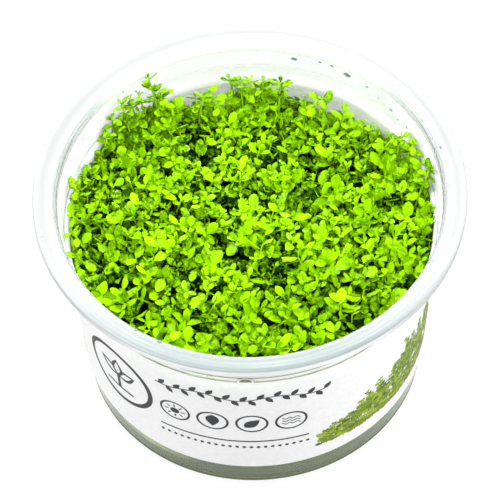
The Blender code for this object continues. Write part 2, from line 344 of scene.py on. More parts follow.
# The clear plastic, which is hazier where it is thick or turns
plasticLook = {
    "haze": 0.05,  # roughness of the wall,
    "rimHaze": 0.36,  # the flange
    "footHaze": 0.9,  # and the corner at the foot
    "clearness": 0.96,  # share of light that goes through the wall,
    "rimClearness": 0.36,  # the flange,
    "ledgeClearness": 0.20,  # the stacking step
    "footClearness": 0.02,  # and the corner at the foot
    "lineLoss": 0.5,  # and how much less through the painted shade lines
    "ledgeAtBack": 0.4,  # share of the step's haze that is left at the back
    "wallTint": (0.96, 0.975, 0.97),
    "collarTint": (0.89, 0.905, 0.90),
    "rimTint": (0.446, 0.454, 0.455),
    "lipBackTint": (0.84, 0.845, 0.84),  # the lip at the back, painted lighter as light where it faces the shaded leaves
    "rimSideTint": (0.428, 0.433, 0.436),  # the flange at the sides
    "frontTint": (0.214, 0.262, 0.258),  # painted shade on the flange over the label, in front, where the dark label and leaves show through
    "faceTint": (0.81, 0.82, 0.82),  # and its outer face there, painted lighter as if lit
    "edgeTint": (0.38, 0.40, 0.40),  # the flange's outer edge elsewhere, painted darker as a shade line
    "ledgeTint": (0.84, 0.85, 0.83),
    "backTint": (0.95, 0.955, 0.95),  # the step at the back, painted lighter as light where it faces the shaded leaves
    "sideTint": (0.93, 0.94, 0.915),  # the wall beside the leaves
    "collarSideTint": (0.88, 0.82, 0.93),  # and over them, tinted magenta as painted light that cancels the green light bounced from the leaves
    "lowTint": (0.85, 0.975, 0.65),  # the wall round the gel
    "footTint": (0.075, 0.10, 0.042),  # and the corner under it, painted dark as shade
    "lineTint": (0.28, 0.36, 0.35),  # painted shade lines where the lip and the step turn
    "shadeTint": (0.16, 0.19, 0.13),  # painted shadow line under the step
    "absorption": ((0.80, 0.93, 0.93), 30.0),
    "zones": {  # what it is measured along, where it starts and where it is full, in mm
        "flangeOut": ("out", 46.6, 47.3),
        "flangeUp": ("z", 62.4, 63.0),
        "back": ("y", 20, 34),
        "front": ("y", -22, -46),
        "lipBackOut": ("out", 47.5, 46.7),
        "lipBackUp": ("z", 61.2, 62.2),
        "rimSides": ("width", 30, 46),
        "beadOut": ("out", 47.6, 50.4),
        "faceOut": ("out", 51.75, 51.95),
        "faceDown": ("z", 64.95, 64.6),
        "edgeOut": ("out", 51.6, 51.9),
        "stepUp": ("z", 50.2, 50.8),
        "stepDown": ("z", 55.2, 54.2),
        "stepDownBack": ("z", 57.0, 55.8),
        "wallSides": ("width", 29, 38),
        "underLip": ("z", 62.2, 61.4),
        "overLeaves": ("z", 42, 45),
        "collarUp": ("z", 54.2, 55.2),
        "collarSoft": ("z", 54, 56),
        "gelDown": ("z", 10.2, 9.2),
        "footDown": ("z", 3.75, 3.6),
        "lipTop": ("z", 62.0, 62.2),
        "lipSides": ("width", 14, 38),
        "turnSides": ("width", 34, 41),
    },
    "lines": {  # painted shade lines: what it is measured along, its place and its reach, in mm
        "lipInner": ("out", 46.62, 0.2),
        "lipOuter": ("out", 47.6, 0.26),
        "turn": ("z", 54.0, 0.28),
        "turnSide": ("z", 53.5, 0.6),
        "underStep": ("z", 52.1, 0.42),
    },
}


def wallRadius(z):
    (lowR, lowZ), (highR, highZ) = tub["wallLow"], tub["wallHigh"]
    return between(lowR, highR, (z - lowZ) / (highZ - lowZ))


def clearPlastic():
    look = plasticLook
    finish = Finish("clearPlastic", IOR=1.49)
    times, plus, minus, most, ranged = finish.times, finish.plus, finish.minus, finish.most, finish.ranged
    x, y, z = finish.split(finish.place)
    flat = finish.add("ShaderNodeCombineXYZ", X=x, Y=y).outputs[0]
    out = finish.add("ShaderNodeVectorMath", {"operation": "LENGTH"}, Vector=flat).outputs["Value"]
    measured = {"out": out, "y": y, "z": z, "width": finish.math("ABSOLUTE", x)}
    cloud = finish.noise(60.0, 4.0)

    def zone(name, low=0.0, high=1.0):
        along, start, full = look["zones"][name]
        return ranged(measured[along], start * mm, full * mm, low, high)

    def line(name):
        along, place, reach = look["lines"][name]
        return finish.near(measured[along], place, reach)

    # where the flange is, its front, its outer face and its outer edge elsewhere
    back, front = zone("back"), zone("front")
    lipBack = times(zone("lipBackUp"), back, zone("lipBackOut"))
    rim = most(times(zone("flangeOut"), zone("flangeUp")), lipBack)
    rimSide = times(rim, zone("rimSides"))
    rimFront = times(rim, front)
    # painted shade on the front of the flange, for the dark label and leaves under it
    paintedFrontShade = times(rimFront, zone("beadOut", 0.75, 1.0))
    # painted light on the flange's outer face in front
    face = times(rimFront, zone("faceOut"), zone("faceDown"))
    # a painted shade line on the flange's outer edge elsewhere
    edge = zone("edgeOut", 0.0, minus(1.0, front))
    # the stacking step, the wall beside the leaves and the corner at the foot, which is painted dark as
    # shade
    under = most(zone("stepDown"), times(zone("stepDownBack"), back))
    ledge = times(zone("stepUp"), under)
    # the step at the back, for its painted light
    ledgeBack = times(ledge, back)
    ledge = times(ledge, ranged(back, 0.0, 1.0, 1.0, look["ledgeAtBack"]))
    beside = times(zone("wallSides"), zone("underLip"), zone("overLeaves"))
    # the collar over the leaves, for the magenta tint that cancels their green bounced light
    collarSide = times(beside, zone("collarUp"))
    low, foot = zone("gelDown"), zone("footDown")
    # painted shade lines on the lip and on the step, at the sides more than in front and at the back
    lip = plus(times(line("lipInner"), zone("lipTop")), times(line("lipOuter"), 0.8))
    lip = times(lip, zone("lipSides", 0.12, 1.0))
    turn = most(times(line("turn"), 1.1), times(line("turnSide"), zone("turnSides", 0.0, 0.9)))
    turn = times(turn, minus(1.0, back))
    lines = finish.math("MULTIPLY", plus(lip, turn), ranged(cloud, 0.35, 0.6, 0.2, 0.8), clamp=True)
    shade = times(line("underStep"), front)

    clearness = look["clearness"]
    clear = clearness
    for share, level in ((rim, "rimClearness"), (ledge, "ledgeClearness"), (foot, "footClearness")):
        clear = minus(clear, times(share, clearness - look[level]))
    clear = minus(clear, times(beside, clearness - look["ledgeClearness"], minus(1.0, ledge)))
    clear = minus(clear, times(lines, look["lineLoss"]), clamp=True)
    haze = ranged(most(rim, most(ledge, beside)), 0.0, 1.0, look["haze"], look["rimHaze"])
    rough = most(times(haze, ranged(cloud, 0.3, 0.7, 0.75, 1.3)), lines)
    rough = most(rough, times(foot, look["footHaze"]))
    tint = finish.mix(zone("collarSoft"), look["wallTint"], look["collarTint"])
    tint = finish.mix(times(rim, ranged(cloud, 0.3, 0.7, 0.9, 1.0)), tint, look["rimTint"])
    layers = {"lipBackTint": lipBack, "rimSideTint": rimSide, "frontTint": paintedFrontShade, "faceTint": face,
              "edgeTint": edge, "ledgeTint": ledge, "backTint": ledgeBack, "sideTint": beside,
              "collarSideTint": collarSide, "lowTint": low, "footTint": foot, "lineTint": lines,
              "shadeTint": shade}
    for name, share in layers.items():
        tint = finish.mix(share, tint, look[name])
    finish.feed(Transmission_Weight=clear, Roughness=rough, Base_Color=tint)
    colour, density = look["absorption"]
    inside = finish.add("ShaderNodeVolumeAbsorption", Color=(*colour, 1), Density=density)
    finish.plug(finish.tree.nodes["Material Output"].inputs["Volume"], inside.outputs[0])
    finish.bump(finish.noise(118.0, 2.0, 0.35), 0.12, 0.2 * mm)
    return finish.mat


def addTub():
    wall = tub["wall"]
    lip, rim, top = tub["lip"], tub["rim"], tub["rimTop"]
    stepR, stepZ = tub["wallHigh"]
    bandR, bandZ = tub["stepTop"]
    collarR, collarZ = tub["collarTop"]
    foot = tub["footOuter"]
    corners = [
        (0, tub["floorTop"], 0),
        (wallRadius(tub["floorTop"]) - wall, tub["floorTop"], 2.0),
        (stepR - wall, stepZ, 1.5),
        (bandR - wall, bandZ, 0.7),
        (collarR - wall, lip, 1.8),
        (rim - 3.0, lip + 0.1, 0.9),
        (rim - 1.5, top, 0.8),
        (rim, top, 0.5),
        (rim, lip - 0.8, 0.15),
        (rim - 0.8, lip - 0.8, 0.15),
        (rim - 0.8, lip + 0.1, 0.2),
        (rim - 1.7, collarZ + 0.2, 0.2),
        (collarR, collarZ, 0.25),
        (bandR, bandZ, 1.5),
        (stepR, stepZ, 1.5),
        (wallRadius(tub["cornerTop"]), tub["cornerTop"], 0.35),
        (foot, 0, 0.6),
        (tub["footInner"], 0, 0.3),
        (tub["footInner"] - 0.6, tub["floorUnder"], 0.3),
        (0, tub["floorUnder"], 0),
    ]
    piece = turnedPiece("tub", roundedOutline(corners), tub["around"], [clearPlastic()])
    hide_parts("cup")


addTub()
print("tub turned")


# Painted shade lines: thin dark rods at the sides of the collar and the flange, where the step and the lip
# refract darker
shadeLineLook = {
    "colour": (0.34, 0.40, 0.395),
    "clearness": 0.35,
    "steps": 64,  # along each line
    "sides": 6,
    "thinnest": 0.02,  # mm, at its ends
    "lines": [  # from and to in degrees, radius, height and thickness in mm
        (142, 232, 45.08, 54.05, 0.17), (-52, 26, 45.08, 54.05, 0.17),
        (158, 226, 47.6, 64.03, 0.10), (-46, 18, 47.6, 64.03, 0.10),
    ],
}


def addShadeLines():
    look = shadeLineLook
    finish = Finish("mouldingLine", IOR=1.49, Roughness=0.6, Specular_IOR_Level=0.1,
                    Transmission_Weight=look["clearness"])
    shades = [(0.4, look["colour"]), (0.65, lighter(look["colour"], 2.0))]
    finish.feed(Base_Color=finish.ramp(finish.noise(120.0, 2.0), shades))
    steps, sides = look["steps"], look["sides"]
    points, faces = [], []
    for start, end, radius, height, thick in look["lines"]:
        first = len(points)
        for k in range(steps + 1):
            turn = math.radians(between(start, end, k / steps))
            half = max(look["thinnest"], thick * math.sin(math.pi * k / steps) ** 0.4)
            points += [polar(r, turn, z) for r, z in ringOf(radius, height, half, sides)]
        faces += [tuple(first + i for i in reversed(face)) for face in tubeFaces(steps + 1, sides)]
    piece = addPiece("mouldingLines", points, faces, [finish.mat])


# the painted shade lines
addShadeLines()
print("moulding lines drawn")


# Drops of water on the inside of the collar and two on the flange: angle, height and size
dropLook = {
    "colour": (0.30, 0.48, 0.46),
    "clearness": 0.7,
    "squash": 0.35,  # height over radius
    "stretch": 1.7,  # longer round the wall than up it
    "rings": (0.4, 0.75, 1.0),  # share of the radius
    "around": 12,
    "tilt": (0.13, 0.99),  # outwards and up along the collar
    "sink": 0.01,  # mm into the wall
    "flangeLift": 0.03,  # mm over the lip
    "drops": [
        (74.7, 59.9, 0.50), (66.4, 60.9, 0.28), (62.4, 60.9, 0.30), (57.1, 60.0, 0.62), (49.7, 59.5, 0.30),
        (42.5, 57.8, 0.24), (39.4, 57.7, 0.42), (44.8, 58.5, 0.24), (36.0, 56.6, 0.26), (31.5, 57.2, 0.34),
        (28.0, 56.0, 0.24), (130.7, 61.1, 0.20), (137.0, 61.4, 0.20), (141.2, 60.4, 0.16),
        (146.7, 59.0, 0.20), (150.8, 59.1, 0.30), (141.6, 58.6, 0.22), (157.0, 57.4, 0.20),
    ],
    "flangeDrops": [(14.5, 47.9, 0.30), (9.2, 48.0, 0.26), (-118.0, 47.4, 0.34), (-126.0, 47.2, 0.24)],
}


def collarRadius(z):
    (lowR, lowZ), (highR, highZ) = tub["stepTop"], tub["collarTop"]
    return between(lowR, highR, (z - lowZ) / (highZ - lowZ)) - tub["wall"]


def addDrops():
    look = dropLook
    finish = Finish("water", IOR=1.33, Roughness=0.03, Transmission_Weight=look["clearness"])
    shades = [(0.35, lighter(look["colour"], 0.6)), (0.65, look["colour"])]
    finish.feed(Base_Color=finish.ramp(finish.noise(300.0, 1.0), shades))
    count = look["around"]
    points, faces = [], []

    def lens(middle, along, up, out, size):
        first = len(points)
        points.append(middle + out * size * look["squash"])
        for ring in look["rings"]:
            for u, v in ringOf(0, 0, ring * size, count):
                dome = out * size * look["squash"] * (1 - ring ** 2)
                points.append(middle + along * u * look["stretch"] + up * v + dome)
        for k in range(count):
            n = (k + 1) % count
            faces.append((first, first + 1 + k, first + 1 + n))
            for inner in range(first + 1, first + 1 + 2 * count, count):
                outer = inner + count
                faces.append((inner + k, outer + k, outer + n, inner + n))
        faces.append(tuple(first + 1 + 2 * count + k for k in range(count))[::-1])

    outwards, upwards = look["tilt"]
    for angle, z, size in look["drops"]:
        c, s = turned(angle)
        r = collarRadius(z) - look["sink"]
        up = Vector((outwards * c, outwards * s, upwards))
        inwards = Vector((-upwards * c, -upwards * s, outwards))
        lens(Vector((r * c, r * s, z)), Vector((-s, c, 0)), up, inwards, size)
    for angle, r, size in look["flangeDrops"]:
        c, s = turned(angle)
        middle = Vector((r * c, r * s, tub["lip"] + look["flangeLift"]))
        lens(middle, Vector((-s, c, 0)), Vector((-c, -s, 0)), Vector((0, 0, 1)), size)
    piece = addPiece("waterDrops", [p * mm for p in points], faces, [finish.mat])


addDrops()
print("drops set")


# The gel that the plants stand in

gelLook = {
    "under": 1.66,  # mm
    "top": 14.0,
    "edge": 15.1,  # height that it climbs at the wall
    "climb": 2.4,  # width of the climbing edge
    "lap": 0.05,  # wets the wall
    "clearness": 0.4,
    "around": 128,
    "shades": [(0.3, (0.036, 0.074, 0.002)), (0.7, (0.094, 0.15, 0.008))],
    # a painted highlight of gathered light, as a pale streak in the gel:
    "streakTurn": (-62, -52, -34, -19),  # degrees from the front: it fades in, is full and fades out
    "streakHeight": 7.9,
    "streakWidth": 2.0,
    "streakSwing": 5.0,  # how far it wanders up and down
    "streakTint": (0.74, 0.78, 0.46),
}


def addGel():
    look = gelLook
    finish = Finish("plantGel", IOR=1.34, Roughness=0.12, Transmission_Weight=look["clearness"])
    times, ranged = finish.times, finish.ranged
    cloud = finish.noise(32.0, 5.0)
    tint = finish.ramp(cloud, look["shades"])
    x, y, z = finish.split(finish.place)
    # the painted highlight streak round part of the gel
    turn = finish.math("ARCTAN2", x, times(y, -1.0))
    start, full, fade, end = [math.radians(angle) for angle in look["streakTurn"]]
    drift = times(finish.minus(cloud, 0.5), look["streakSwing"] * mm)
    level = finish.near(finish.plus(z, drift), look["streakHeight"], look["streakWidth"])
    streak = times(ranged(turn, start, full), ranged(turn, fade, end, 1.0, 0.0), level,
                   ranged(cloud, 0.4, 0.55, 0.3, 1.0))
    finish.feed(Base_Color=finish.mix(streak, tint, look["streakTint"]))
    finish.bump(cloud, 0.35, 0.4 * mm)
    inset = tub["wall"] - look["lap"]
    low, edge = wallRadius(look["under"]) - inset, wallRadius(look["edge"]) - inset
    corners = [
        (0, look["under"], 0),
        (low, look["under"], 1.98),
        (edge, look["edge"], 0.15),
        (edge - look["climb"], look["top"], 1.5),
        (0, look["top"], 0),
    ]
    piece = turnedPiece("gel", roundedOutline(corners), look["around"], [finish.mat])
    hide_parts("growth_gel")


addGel()
print("gel poured")


# The wrap label: a white film with a plant print, cut flat in millimetres and rolled on

labelLook = {
    "low": 10.2,  # mm
    "high": 50.8,
    "lift": 0.3,  # from the wall
    "film": 0.2,
    "tab": 1.9,  # radius of the half-round tab on the top edge
    "tabRim": 0.4,
    "tabSill": 0.1,  # how far the tab's window starts over the top edge
    "tabPlace": -2.5,
    "overlap": 2.6,  # the film's end laps over its start at the back
    "glow": 0.38,  # share of light that the printed face lets through
    "backGlow": 0.50,  # and the back
    "columns": 180,
    "inks": {
        "labelWhite": (0.852, 0.848, 0.855),
        "inkGrey": (0.042, 0.044, 0.046),
        "inkGreen": (0.17, 0.27, 0.003),
        "inkPaleGreen": (0.31, 0.42, 0.008),
        "inkDarkGreen": (0.08, 0.15, 0.003),
        # the tab's window, painted dark as the shaded leaves behind it
        "inkOlive": (0.19, 0.24, 0.13),
        # the film's back, tinted green as painted light from the leaves
        "labelBack": (0.96, 0.985, 0.93),
        "labelEdge": (0.42, 0.45, 0.39),
    },
}


# A pointed oval from its foot, leaning by an angle from straight up
def leafOutline(u, v, length, width, lean, count=9):
    shares = [k / count for k in range(count + 1)]
    sideA = [(width / 2 * math.sin(math.pi * t ** 0.8), length * t) for t in shares]
    sideB = [(-x, y) for x, y in sideA[1:-1]][::-1]
    c, s = math.cos(lean), math.sin(lean)
    return [(u + x * c + y * s, v - x * s + y * c) for x, y in sideA + sideB]


def barOutline(u0, v0, u1, v1, width):
    along = (Vector((u1, v1)) - Vector((u0, v0))).normalized()
    side = Vector((-along.y, along.x)) * width / 2
    return [(u0 + side.x, v0 + side.y), (u0 - side.x, v0 - side.y),
            (u1 - side.x, v1 - side.y), (u1 + side.x, v1 + side.y)]


# A small bushy plant: a bowed stem and leaf pairs that get smaller upwards
def printedSprig(rng, u, v, height, bow, tones):
    def stemAt(t):
        return u + bow * height * t * t, v + height * t
    nodes = [stemAt(k / 3) for k in range(4)]
    shapes = [(tones[-1], barOutline(*low, *high, 0.3)) for low, high in zip(nodes, nodes[1:])]
    pairs = int(height / 1.25)
    for k in range(pairs + 1):
        t = (k + 0.6) / (pairs + 0.6)
        size = (2.7 - 1.2 * t) * rng.uniform(0.75, 1.2)
        lean = math.atan(2 * bow * t)
        for side in (-1, 1):
            spread = side * (1.3 - 0.8 * t * t) + rng.uniform(-0.4, 0.4)
            shapes.append((rng.choice(tones), leafOutline(*stemAt(t), size, size * 0.7, lean + spread, 6)))
    return shapes


# The print in mm, along the film from its middle and up from its lower edge
printLook = {
    "badge": (-37.5, 22.0),
    "badgeRings": (11.0, 9.6),
    "garland": (-25, 42, 32.6),  # start, number of steps and height
    "wave": (0.9, 2.9),  # its swing and pitch
    "signs": (-20.5, -11.0, -1.5, 8.0),
    "signHeight": 21.0,
    "signRings": (4.0, 3.4),
    "rays": 8,
    "rule": (-25.0, 12.5, 12.4),  # from, to and height
    "dots": (-24.6, 1.75, 22, 9.6),  # first, step, number and height
    "banks": [  # start, peak and end, then the lowest and the highest sprig
        (16.0, 54.0, 68.0, 3.5, 24.0), (-128.0, -92.0, -58.0, 4.0, 13.0), (84.0, 108.0, 134.0, 4.0, 12.0),
    ],
    "bankFoot": 5.0,
    "bankTones": ["inkGreen"] * 3 + ["inkPaleGreen"] * 2 + ["inkDarkGreen"],
    "seed": 5,
}


# What lies on the film, each outline with its ink, later ones over earlier ones
def labelPrint():
    look = printLook
    shapes = []

    def draw(outline, ink="inkGrey"):
        shapes.append((ink, outline))

    def drawRing(u, v, radii, count):
        draw(ringOf(u, v, radii[0], count))
        draw(ringOf(u, v, radii[1], count), "labelWhite")

    # round badge with a seedling
    u, v = look["badge"]
    drawRing(u, v, look["badgeRings"], 72)
    draw(barOutline(u, v - 5.4, u, v + 1.4, 1.1))
    draw(barOutline(u - 4.6, v - 5.6, u + 4.6, v - 5.6, 0.9))
    for turn in (-1.0, 1.0, 0.0):
        draw(leafOutline(u, v - 0.4, 7.0, 4.0, turn))
        rib = u + 0.9 * math.sin(turn), v - 0.4 + 0.9 * math.cos(turn)
        draw(leafOutline(*rib, 4.9, 1.9, turn), "labelWhite")
    # a garland: a wavy stem with leaves on both sides
    start, steps, height = look["garland"]
    swing, pitch = look["wave"]
    for k in range(steps):
        ends = [(start + i, height + swing * math.sin((start + i) / pitch)) for i in (k, k + 1)]
        draw(barOutline(*ends[0], *ends[1], 0.4))
        if k % 2:
            draw(leafOutline(*ends[0], 2.9, 1.5, math.pi / 2 - (0.95 if k % 4 == 1 else -0.95)))
    # sun, drop, leaf and water signs in rings
    sun, drop, leaf, water = look["signs"]
    level = look["signHeight"]
    for u in look["signs"]:
        drawRing(u, level, look["signRings"], 48)
    rays = zip(ringOf(sun, level, 1.6, look["rays"]), ringOf(sun, level, 2.7, look["rays"]))
    for inner, outer in rays:
        draw(barOutline(*inner, *outer, 0.45))
    draw(ringOf(sun, level, 1.2, 24))
    draw(leafOutline(drop, level + 2.8, 5.2, 3.4, math.pi))
    draw(leafOutline(leaf - 1.8, level - 1.8, 5.2, 3.0, 0.8))
    for row in (-1.2, 0.0, 1.2):
        for k in range(5):
            ends = [(water - 2.25 + 0.9 * i, level + row + 0.35 * (-1) ** i) for i in (k, k + 1)]
            draw(barOutline(*ends[0], *ends[1], 0.35))
    # a rule and a row of dots
    start, end, height = look["rule"]
    draw(barOutline(start, height, end, height, 0.6))
    first, step, count, height = look["dots"]
    for k in range(count):
        draw(ringOf(first + step * k, height, 0.5, 12))
    # a bank of sprigs that rises to the right, and two round the back
    rng = random.Random(look["seed"])
    for start, peak, end, low, high in look["banks"]:
        u = start
        while u < end:
            up = (u - start) / (peak - start) if u < peak else (end - u) / (end - peak)
            height = between(low, high, up)
            for foot in (look["bankFoot"] + 1.8 + 0.35 * height, look["bankFoot"]):
                place, tall = u + rng.uniform(-0.6, 0.6), height * rng.uniform(0.5, 0.75)
                shapes += printedSprig(rng, place, foot, tall, rng.uniform(-0.35, 0.35), look["bankTones"])
            u += rng.uniform(1.5, 2.4)
    return shapes


def addLabel():
    look = labelLook
    height = look["high"] - look["low"]
    middle = wallRadius((look["low"] + look["high"]) / 2) + look["lift"]
    start = -math.pi * middle
    end = look["overlap"] - start
    tabU, tabR = look["tabPlace"], look["tab"]
    hole = tabR - look["tabRim"]
    tabArc = ringOf(tabU, height, tabR, 32)[:17]
    window = ringOf(tabU, height + look["tabSill"], hole, 28)[:15]
    outline = [(start, 0), (end, 0), (end, height)] + tabArc + [(start, height)]
    # the tab's window gets painted shade
    shapes = labelPrint() + [("inkOlive", window)]
    columns = [between(start, end, k / look["columns"]) for k in range(1, look["columns"])]

    def cutFlat(rings):
        flat, faces, lines = [], [], []
        for ring in rings:
            faces.append(list(range(len(flat), len(flat) + len(ring))))
            flat += [Vector(p) for p in ring]
        for u in columns:
            lines.append((len(flat), len(flat) + 1))
            flat += [Vector((u, 0)), Vector((u, height))]
        points, _, cells, _, _, owners = delaunay_2d_cdt(flat, lines, faces, 1, 1e-5)
        return points, cells, owners

    def rolled(p, lift):
        z = look["low"] + p[1]
        lap = min(1, max(0, (p[0] + start + look["overlap"]) / look["overlap"])) * 1.25 * look["film"]
        return polar(wallRadius(z) + lift + lap, p[0] / middle - math.pi / 2, z)

    def spot(p):
        return round(p.x, 4), round(p.y, 4)

    # the printed face, and the plain back with the same edge
    points, cells, owners = cutFlat([outline] + [ring for _, ring in shapes])
    backPoints, backCells, _ = cutFlat([outline])
    rounds = [rolled(p, look["lift"] + look["film"]) for p in points]
    rounds += [rolled(p, look["lift"]) for p in backPoints]
    behind = {spot(p): len(points) + i for i, p in enumerate(backPoints)}
    slotOf = {name: k for k, name in enumerate(look["inks"])}
    faces, slots, sides = [], [], set()
    for cell, owner in zip(cells, owners):
        over = max(owner, default=0)
        faces.append(list(cell))
        slots.append(slotOf[shapes[over - 1][0] if over > 0 else "labelWhite"])
        sides.update(zip(cell, list(cell[1:]) + [cell[0]]))
    for cell in backCells:
        faces.append([i + len(points) for i in reversed(cell)])
        slots.append(slotOf["labelBack"])
    for a, b in sorted(sides):
        if (b, a) not in sides:
            faces.append([b, a, behind[spot(points[a])], behind[spot(points[b])]])
            slots.append(slotOf["labelEdge"])
    mats = [filmInk(name, colour) for name, colour in look["inks"].items()]
    piece = addPiece("wrapLabel", rounds, faces, mats, slots, sharpAngle=30)
    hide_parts("label")


# Printed film: ink or white with a fine print grain and a little sheen
def filmInk(name, colour):
    finish = Finish(name, Specular_IOR_Level=0.2)
    grain = finish.noise(900.0, 3.0)
    shades = [(0.25, lighter(colour, 0.94)), (0.75, lighter(colour, 1.05))]
    finish.feed(Base_Color=finish.ramp(grain, shades), Roughness=finish.ranged(grain, 0.2, 0.8, 0.32, 0.46))
    finish.bump(finish.noise(70.0, 1.0), 0.15, 0.3 * mm)
    finish.letThrough((*colour, 1), labelLook["backGlow" if name == "labelBack" else "glow"])
    return finish.mat


addLabel()
print("label cut and rolled on")


# Leaves: a thin closed blade on a grid of rows and columns

leafLook = {
    "rows": (0.1, 0.28, 0.52, 0.76, 0.94),
    "plainRows": (0.1, 0.34, 0.66, 0.92),
    "fineColumns": 4,
    "plainColumns": 2,
    "thickness": 0.13,  # mm
    "aspect": 0.59,  # width over length
    "longest": 5.0,
    "spread": 24,  # degrees that a leaf may pitch up or down from its pair's angle
    "roll": 0.62,
    "cup": (-0.55, 0.45),  # below 0 the blade folds down along its rib
    "arch": (-0.25, 0.65),
    "gap": 0.25,  # mm between the leaves and the wall
    "stemSide": (0.31, 0.95, 0.1),  # a stem's rings start across this direction
    "glow": 0.11,  # share of light that a leaf lets through
    "greens": [  # from old and shaded to young
        (0.0, (0.0008, 0.008, 0.0002)), (0.3, (0.046, 0.15, 0.0004)), (0.5, (0.215, 0.48, 0.0005)),
        (0.68, (0.30, 0.62, 0.0006)), (1.0, (0.318, 0.655, 0.001)),
    ],
    "stemGreens": [(0.0, (0.04, 0.12, 0.002)), (0.5, (0.20, 0.42, 0.004)), (1.0, (0.36, 0.66, 0.01))],
}


def leafTemplate(rows, columns):
    params = [(0.0, 0.0, 0.0)]  # across, along, face up or down
    foot = [0] * (columns + 1)
    grid = [(foot, foot)]
    for t in rows:
        top, under = [], []
        for c in range(columns + 1):
            s = -1 + 2 * c / columns
            edge = c in (0, columns)
            top.append(len(params))
            params.append((s, t, 0.0 if edge else 1.0))
            if not edge:
                params.append((s, t, -1.0))
            under.append(len(params) - 1)
        grid.append((top, under))
    tip = [len(params)] * (columns + 1)
    params.append((0.0, 1.0, 0.0))
    faces = []
    for (topA, underA), (topB, underB) in zip(grid, grid[1:] + [(tip, tip)]):
        for c in range(columns):
            faces.append((topA[c], topA[c + 1], topB[c + 1], topB[c]))
            faces.append((underA[c + 1], underA[c], underB[c], underB[c + 1]))
    faces = [tuple(dict.fromkeys(face)) for face in faces]
    s, t, side = np.array(params).T
    blade = np.clip((t - 0.06) / 0.94, 0, 1)
    wide = np.maximum(np.sin(np.pi * blade ** 1.06) ** 0.66, 0.12 * (t < 0.5)) * (t > 0) * (t < 1)
    return {"s": s, "t": t, "side": side, "wide": wide, "faces": faces}


fineLeaf = leafTemplate(leafLook["rows"], leafLook["fineColumns"])
plainLeaf = leafTemplate(leafLook["plainRows"], leafLook["plainColumns"])


# Gathers leaves and stems of one clump into one mesh
class Foliage:
    def __init__(self):
        self.points, self.faces, self.slots, self.uvs, self.tones = [], [], [], [], []
        self.count = 0

    def add(self, points, faces, slot, uvs, tone):
        self.points.append(points)
        self.faces += [tuple(i + self.count for i in face) for face in faces]
        self.slots += [slot] * len(faces)
        self.uvs.append(uvs)
        self.tones.append(np.full(len(points), tone))
        self.count += len(points)


# Keeps points inside the wall, as leaves that press against it
def insideWall(points):
    z = points[:, 2]
    stepR, stepZ = tub["stepTop"]
    collar = stepR + (z - stepZ) * tub["collarFlare"]
    limit = np.where(z < tub["wallHigh"][1], wallRadius(z), collar) - tub["wall"] - leafLook["gap"]
    r = np.hypot(points[:, 0], points[:, 1])
    scale = np.where(r > limit, limit / np.maximum(r, 1e-6), 1.0)
    points[:, :2] *= scale[:, None]
    return points


def addLeaf(foliage, template, foot, along, up, length, width, cup, arch, tone):
    side = np.cross(along, up)
    side /= np.linalg.norm(side)
    up = np.cross(side, along)
    s, t = template["s"], template["t"]
    half = template["wide"] * width / 2
    x = s * half
    y = length * t * (1 - 0.12 * arch * t)
    lift = cup * half * s ** 2 - 0.10 * width * (1 - np.abs(s)) ** 2 * template["wide"]
    z = lift - arch * length * 0.5 * t ** 2 + template["side"] * leafLook["thickness"] / 2
    points = foot + np.outer(x, side) + np.outer(y, along) + np.outer(z, up)
    uvs = np.stack([0.5 + 0.5 * s * template["wide"], t], axis=1)
    foliage.add(insideWall(points), template["faces"], 0, uvs, tone)


def addStem(foliage, path, radii, tone, sides=5):
    path = np.array(path)
    points = []
    for p, r, ahead in zip(path, radii, path[[*range(1, len(path)), -1]] - path[[0, *range(len(path) - 1)]]):
        across = np.cross(ahead / np.linalg.norm(ahead), leafLook["stemSide"])
        across /= np.linalg.norm(across)
        other = np.cross(ahead / np.linalg.norm(ahead), across)
        points += [p + across * u + other * v for u, v in ringOf(0, 0, r, sides)]
    uvs = np.zeros((len(points), 2))
    foliage.add(insideWall(np.array(points)), tubeFaces(len(path), sides), 1, uvs, tone)


def leafGreen():
    finish = Finish("leafGreen", Coat_IOR=1.33, Coat_Roughness=0.12, Specular_IOR_Level=0.04)
    times, plus, minus, ranged = finish.times, finish.plus, finish.minus, finish.ranged
    tone = finish.add("ShaderNodeAttribute", {"attribute_name": "leafTone"}).outputs["Fac"]
    across, along, _ = finish.split(finish.add("ShaderNodeUVMap", {"uv_map": "leafUV"}).outputs["UV"])
    off = finish.math("ABSOLUTE", minus(across, 0.5))
    # pale midrib and side veins that run up and outwards
    rib = ranged(off, 0.0, 0.06, 1.0, 0.0)
    wave = finish.math("SINE", minus(times(along, 26.0), times(off, 24.0)))
    veins = finish.math("POWER", finish.math("ABSOLUTE", wave), 5.0)
    mottle = finish.noise(1300.0, 3.0)
    age = plus(tone, times(minus(mottle, 0.5), 1.1))
    # painted shade: darker at the blade's edge, towards the dark gaps between leaves, and at its foot in the
    # middle of the rosette
    edge = ranged(off, 0.25, 0.5)
    rosetteShade = ranged(along, 0.0, 0.3, 1.0, 0.0)
    for share, weight in ((rib, 0.10), (veins, -0.09), (edge, -0.24), (rosetteShade, -0.26)):
        age = plus(age, times(share, weight))
    green = finish.ramp(age, leafLook["greens"])
    # a film of water on some leaves
    wet = times(ranged(finish.noise(260.0, 2.0), 0.57, 0.62), ranged(age, 0.35, 0.65, 0.0, 0.9))
    finish.feed(Base_Color=green, Roughness=ranged(mottle, 0.3, 0.7, 0.34, 0.5), Coat_Weight=wet)
    relief = plus(times(rib, -0.8), times(veins, 0.4))
    finish.bump(plus(relief, times(mottle, 1.2)), 0.5, 0.1 * mm)
    finish.letThrough(green, leafLook["glow"])
    return finish.mat


